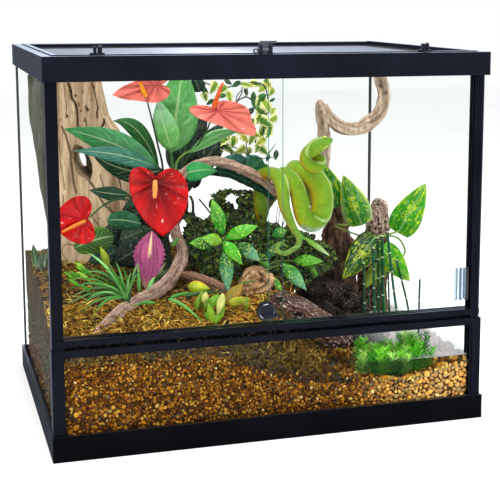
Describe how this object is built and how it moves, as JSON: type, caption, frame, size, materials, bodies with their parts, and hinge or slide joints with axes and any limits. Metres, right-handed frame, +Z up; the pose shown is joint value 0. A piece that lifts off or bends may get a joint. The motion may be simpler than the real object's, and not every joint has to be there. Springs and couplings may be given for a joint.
{
  "type": "reptile terrarium",
  "caption": "Front-opening glass terrarium with black rims, sliding glass doors with a thumb-turn lock, a hinged screen lid and a planted land-and-pond interior.",
  "frame": {"origin": "centre of the overall box at the surface it stands on", "axes": "+Z up, the sliding doors face -Y, +X to the right when facing the doors"},
  "size_m": [0.61, 0.457, 0.542],
  "materials": {
    "rim_plastic": "satin moulded black plastic",
    "clear_glass": "clear float glass, greenish edges",
    "black_silicone": "smooth silicone bead",
    "nylon": "white nylon",
    "clear_acrylic": "clear moulded acrylic",
    "dark_steel": "black coated steel",
    "lock_black": "polished black",
    "bright_steel": "plain steel",
    "pad_rubber": "matt black rubber",
    "screen_wire": "plain woven steel wire",
    "clip_plastic": "black moulded plastic",
    "gravel": "small rounded orange-brown pebbles",
    "moss": "golden-brown fibrous moss and peat",
    "water": "still clear water",
    "driftwood": "weathered cracked driftwood",
    "branch_bark": "rough pinkish-tan bark",
    "cork": "rough pinkish-grey cork bark",
    "dark_bark": "damp reddish-brown bark",
    "rock": "dark pitted rock",
    "red_flower": "glossy red spathes and green leaves",
    "variegated_leaf": "glossy green leaf with yellow patches",
    "green_leaf": "fresh green leaf",
    "dark_leaf": "dark green leaf",
    "pink_leaf": "pink-purple leaf with pale stripe",
    "reed_green": "dark green jointed stem",
    "snake_skin": "yellow-green small-scaled skin"
  },
  "bodies": {
    "enclosure": {"base_frame": "rim_plastic", "top_frame": "rim_plastic", "kick_trim": "rim_plastic", "lower_door_track": "rim_plastic", "upper_door_track": "rim_plastic", "left_corner_post": "rim_plastic", "right_corner_post": "rim_plastic", "floor_glass": "clear_glass", "back_glass": "clear_glass", "left_glass": "clear_glass", "right_glass": "clear_glass", "kick_glass": "clear_glass", "rear_corner_seals": "black_silicone", "clip_studs": "bright_steel", "hasp_bracket": "clip_plastic", "hasp_pin": "bright_steel", "hasp_loop": "dark_steel", "gravel_bed": "gravel", "moss_mound": "moss", "pond_water": "water", "driftwood_slab": "driftwood", "climbing_branch": "branch_bark", "forked_branch": "branch_bark", "driftwood_chunk": "driftwood", "cork_bark": "cork", "bark_slab": "dark_bark", "dark_rock": "rock", "anthurium": "red_flower", "pothos": "variegated_leaf", "gold_dust_plant": "variegated_leaf", "ivy_vine": "variegated_leaf", "grass_tuft": "green_leaf", "bromeliad": "pink_leaf", "pitcher_plants": "green_leaf", "ground_shrub": "dark_leaf", "horsetail_reeds": "reed_green", "pond_plants": "green_leaf", "snake": "snake_skin"},
    "door_left": {"door_left_glass": "clear_glass", "door_left_glides": "nylon"},
    "door_right": {"door_right_glass": "clear_glass", "door_right_glides": "nylon", "door_pull": "clear_acrylic", "lock_bracket": "dark_steel", "lock_body": "lock_black"},
    "lock_lever": {"lock_lever": "lock_black"},
    "lock_plunger": {"lock_plunger": "bright_steel", "lock_pad": "pad_rubber"},
    "lid": {"lid_frame": "rim_plastic", "lid_mesh": "screen_wire", "lid_spline": "pad_rubber", "lid_hinge_pins": "bright_steel"},
    "clip_left": {"clip_left": "clip_plastic"},
    "clip_right": {"clip_right": "clip_plastic"},
    "hasp_lever": {"hasp_lever": "dark_steel"}
  },
  "joints": [
    {"name": "door_left_slide", "type": "slide", "parent": "enclosure", "child": "door_left", "axis": [1, 0, 0], "range_m": [0, 0.28]},
    {"name": "door_right_slide", "type": "slide", "parent": "enclosure", "child": "door_right", "axis": [-1, 0, 0], "range_m": [0, 0.25]},
    {"name": "lock_lever_turn", "type": "hinge", "parent": "door_right", "child": "lock_lever", "pos_m": [-0.016, -0.2245, 0.18], "axis": [0, -1, 0], "range_deg": [0, 90]},
    {"name": "lock_plunger_slide", "type": "slide", "parent": "door_right", "child": "lock_plunger", "axis": [0, 1, 0], "range_m": [0, 0.0012]},
    {"name": "lid_hinge", "type": "hinge", "parent": "enclosure", "child": "lid", "pos_m": [0, 0.21, 0.5204], "axis": [-1, 0, 0], "range_deg": [0, 100]},
    {"name": "clip_left_turn", "type": "hinge", "parent": "enclosure", "child": "clip_left", "pos_m": [-0.232, -0.2225, 0.5305], "axis": [0, 0, -1], "range_deg": [0, 90]},
    {"name": "clip_right_turn", "type": "hinge", "parent": "enclosure", "child": "clip_right", "pos_m": [0.212, -0.2225, 0.53], "axis": [0, 0, -1], "range_deg": [0, 90]},
    {"name": "hasp_lever_flip", "type": "hinge", "parent": "enclosure", "child": "hasp_lever", "pos_m": [-0.0168, -0.2225, 0.5296], "axis": [-1, 0, 0], "range_deg": [0, 90]}
  ],
  "couplings": [
    {"joint": "lock_plunger_slide", "follows": "lock_lever_turn", "m_per_rad": 0.00076}
  ]
}
